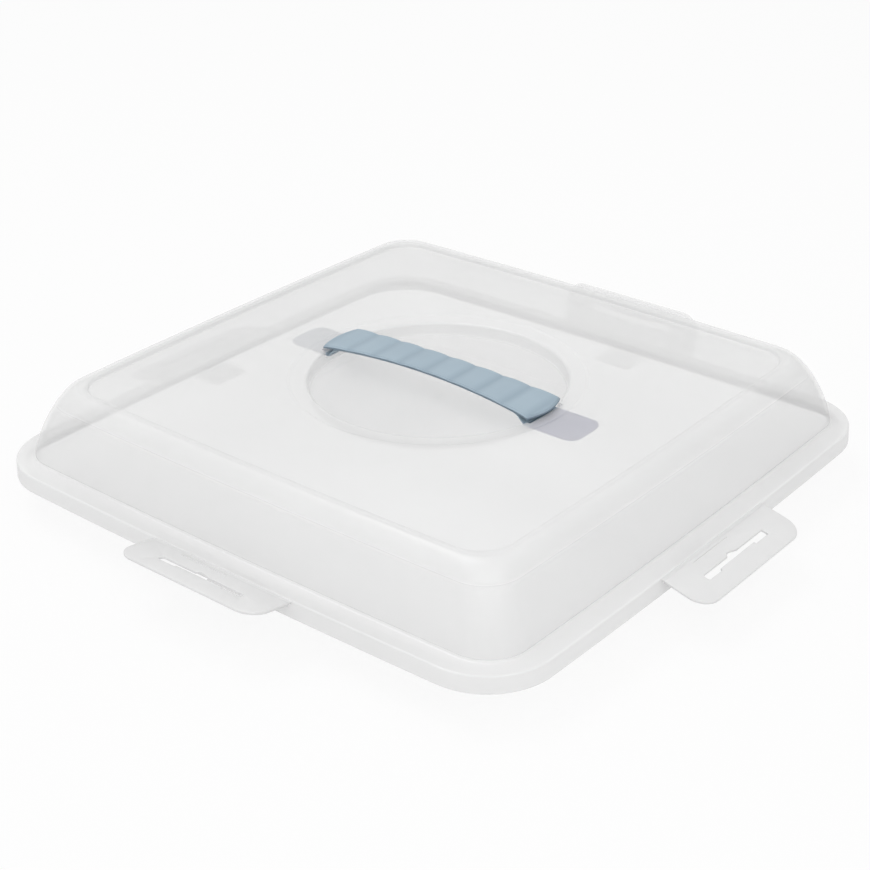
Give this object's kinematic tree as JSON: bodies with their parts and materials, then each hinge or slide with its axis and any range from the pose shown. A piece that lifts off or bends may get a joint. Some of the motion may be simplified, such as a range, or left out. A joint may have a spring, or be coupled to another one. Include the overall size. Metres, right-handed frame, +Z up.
{
  "type": "cake carrier with folding clips",
  "caption": "Low square cake carrier: a milky clear domed lid with folding clips and a blue strap handle over a shallow tray.",
  "frame": {"origin": "centre of the tray's flat underside, on the surface that the carrier stands on", "axes": "+Z up; +X along the strap handle; the right clip is on the +X side and the front clip on the -Y side"},
  "size_m": [0.393, 0.3661, 0.072],
  "materials": {
    "tray_plastic": "milky polypropylene, semi-gloss",
    "lid_plastic": "translucent polypropylene, semi-gloss",
    "strap_plastic": "soft satin plastic, pale grey-blue"
  },
  "bodies": {
    "tray": {"tray": "tray_plastic"},
    "lid": {"lid_rim": "lid_plastic", "lid_wall": "lid_plastic", "lid_panel": "lid_plastic", "lid_well": "lid_plastic"},
    "clip_right": {"clip_right": "lid_plastic"},
    "clip_front": {"clip_front": "lid_plastic"},
    "clip_back": {"clip_back": "lid_plastic"},
    "clip_left": {"clip_left": "lid_plastic"},
    "handle": {"handle_strap": "strap_plastic"}
  },
  "joints": [
    {"name": "lid_lift", "type": "slide", "parent": "tray", "child": "lid", "axis": [0, 0, 1], "range_m": [0, 0.12]},
    {"name": "clip_right_hinge", "type": "hinge", "parent": "lid", "child": "clip_right", "pos_m": [0.17265, -0.0022, 0.0287], "axis": [0, -1, 0], "range_deg": [-75.6, 119.4]},
    {"name": "clip_front_hinge", "type": "hinge", "parent": "lid", "child": "clip_front", "pos_m": [0.0055, -0.16915, 0.0287], "axis": [-1, 0, 0], "range_deg": [-101.2, 93.8]},
    {"name": "clip_back_hinge", "type": "hinge", "parent": "lid", "child": "clip_back", "pos_m": [0.008, 0.16915, 0.0287], "axis": [1, 0, 0], "range_deg": [-172.7, 22.3]},
    {"name": "clip_left_hinge", "type": "hinge", "parent": "lid", "child": "clip_left", "pos_m": [-0.17265, -0.0022, 0.0287], "axis": [0, 1, 0], "range_deg": [-75.6, 119.4]},
    {"name": "handle_slide", "type": "slide", "parent": "lid", "child": "handle", "axis": [1, 0, 0], "range_m": [-0.002, 0.002]}
  ]
}
